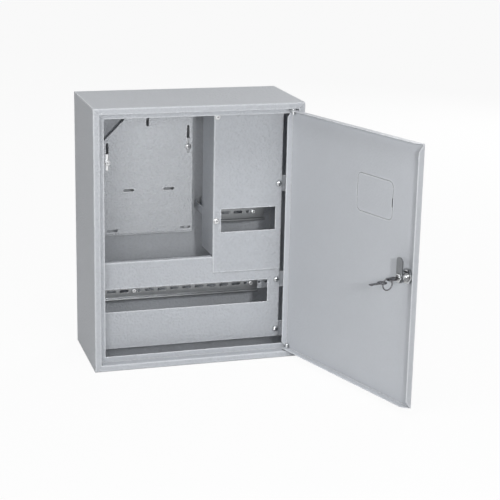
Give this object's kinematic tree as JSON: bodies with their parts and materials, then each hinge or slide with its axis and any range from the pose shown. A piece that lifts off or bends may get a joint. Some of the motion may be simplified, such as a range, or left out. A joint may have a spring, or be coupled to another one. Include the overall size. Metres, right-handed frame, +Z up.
{
  "type": "metal electrical enclosure",
  "caption": "Wall-mounted sheet steel distribution cabinet with a hinged lockable door, a slotted meter panel, removable breaker covers with windows and DIN rails behind them.",
  "frame": {"origin": "centre of the wall holes, on the outer face of the back", "axes": "+X to the right seen from the front, +Y from the front to the wall, +Z up"},
  "size_m": [0.4941, 0.54, 0.5],
  "materials": {
    "powder_coat": "light grey powder coat with a fine orange-peel texture, satin",
    "zinc_steel": "zinc-plated steel, satin",
    "lock_chrome": "chromed, bright",
    "key_metal": "nickel-plated, slightly worn",
    "earth_brass": "plain brass"
  },
  "bodies": {
    "cabinet": {"clamp_nut_plate_left": "zinc_steel", "clamp_nut_plate_right": "zinc_steel", "clamp_screw_left": "zinc_steel", "clamp_screw_right": "zinc_steel", "clamp_washer_left": "zinc_steel", "clamp_washer_right": "zinc_steel", "cover_clip_lower": "powder_coat", "cover_clip_upper": "powder_coat", "cover_post_lower": "powder_coat", "cover_post_upper": "powder_coat", "cover_screw_lower": "zinc_steel", "cover_screw_upper": "zinc_steel", "cover_tab_lower": "powder_coat", "cover_tab_middle": "powder_coat", "cover_tab_upper": "powder_coat", "cover_washer_lower": "zinc_steel", "cover_washer_upper": "zinc_steel", "dome_screw_lower": "zinc_steel", "dome_screw_middle": "zinc_steel", "dome_screw_upper": "zinc_steel", "earth_nut": "earth_brass", "earth_stud": "earth_brass", "earth_washer": "earth_brass", "enclosure_body": "powder_coat", "lower_cover": "powder_coat", "lower_din_rail": "zinc_steel", "lower_hinge_pin": "zinc_steel", "lower_hinge_washer": "zinc_steel", "meter_panel": "powder_coat", "rail_bracket_lower_left": "powder_coat", "rail_bracket_lower_right": "powder_coat", "rail_bracket_upper_left": "powder_coat", "rail_bracket_upper_right": "powder_coat", "rail_screw_lower_left": "zinc_steel", "rail_screw_lower_right": "zinc_steel", "rail_screw_upper_left": "zinc_steel", "rail_screw_upper_right": "zinc_steel", "upper_cover": "powder_coat", "upper_din_rail": "zinc_steel", "upper_hinge_pin": "zinc_steel", "upper_hinge_washer": "zinc_steel"},
    "door_leaf": {"door": "powder_coat", "lock_housing": "lock_chrome", "lock_nut": "lock_chrome"},
    "lock_cylinder": {"lock_barrel": "lock_chrome", "lock_cam": "zinc_steel", "cam_nut": "zinc_steel", "key_1": "key_metal", "key_2": "key_metal", "key_ring": "key_metal"}
  },
  "joints": [
    {"name": "door_hinge", "type": "hinge", "parent": "cabinet", "child": "door_leaf", "pos_m": [0.1785, -0.1895, 0], "axis": [0, 0, 1], "range_deg": [-107.8, 7]},
    {"name": "lock_turn", "type": "hinge", "parent": "door_leaf", "child": "lock_cylinder", "pos_m": [0.28689, -0.51074, 0], "axis": [0.9521, 0.3057, 0], "range_deg": [0, 90]}
  ]
}
